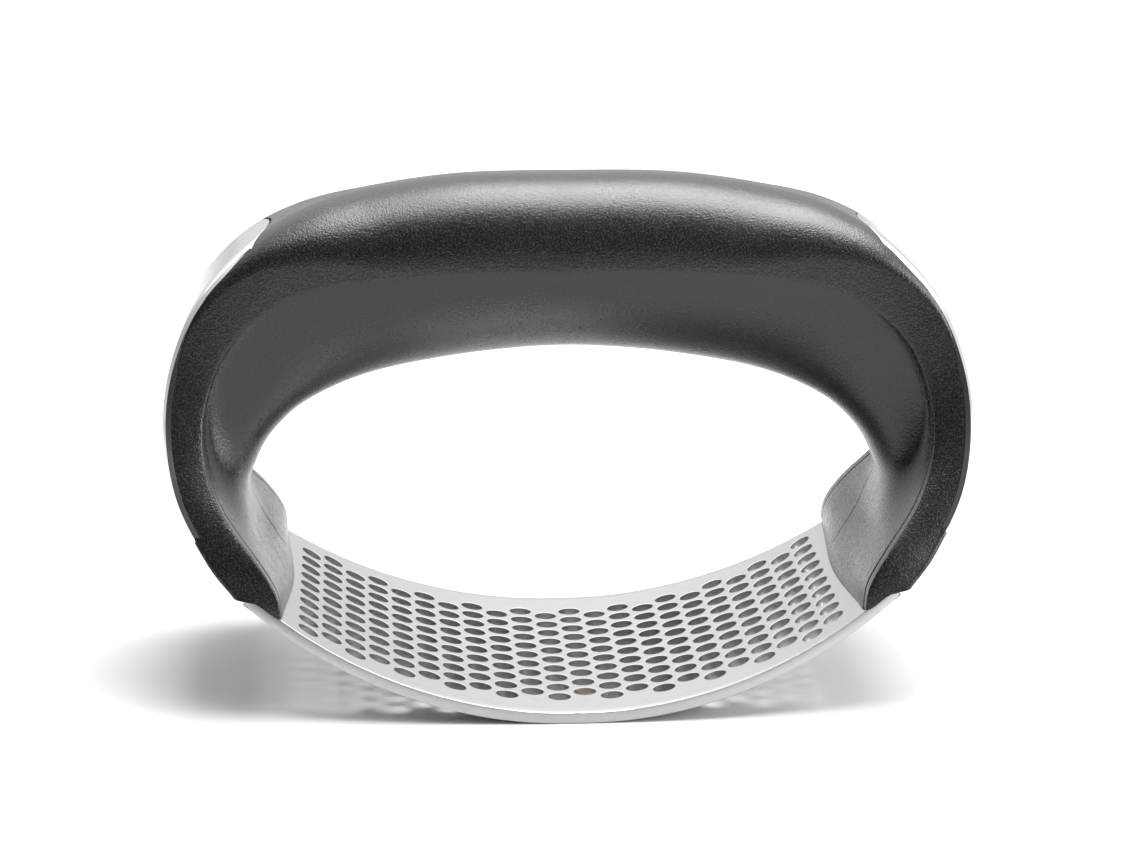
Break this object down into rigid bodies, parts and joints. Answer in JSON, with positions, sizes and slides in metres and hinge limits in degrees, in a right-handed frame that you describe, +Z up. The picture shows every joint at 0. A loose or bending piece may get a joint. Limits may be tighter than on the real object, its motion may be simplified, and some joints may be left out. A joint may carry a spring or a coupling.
{
  "type": "rocking garlic press",
  "caption": "Rocking garlic press: a curved perforated steel plate held in the wide feet of an arched black handle with bright trim strips.",
  "frame": {"origin": "centre of the small flat under the curved plate, where the press stands, which is the middle of the bounding box's bottom", "axes": "+X along the press in its rocking direction, +Y from the front of the press to its back, +Z up towards the grip"},
  "size_m": [0.1062, 0.0516, 0.0682],
  "materials": {
    "plate_steel": "satin",
    "shell_plastic": "fine grain",
    "liner_plastic": "semi-gloss",
    "trim_steel": "polished",
    "screw_steel": "zinc plated"
  },
  "bodies": {
    "root": {"rocker_plate": "plate_steel", "handle_outer_shell": "shell_plastic", "handle_inner_shell_front": "liner_plastic", "handle_inner_shell_back": "liner_plastic", "trim_strip_left": "trim_steel", "trim_strip_right": "trim_steel", "screw_left_upper_front": "screw_steel", "screw_left_upper_back": "screw_steel", "screw_left_lower_front": "screw_steel", "screw_left_lower_back": "screw_steel", "screw_right_upper_front": "screw_steel", "screw_right_upper_back": "screw_steel", "screw_right_lower_front": "screw_steel", "screw_right_lower_back": "screw_steel"}
  },
  "joints": []
}
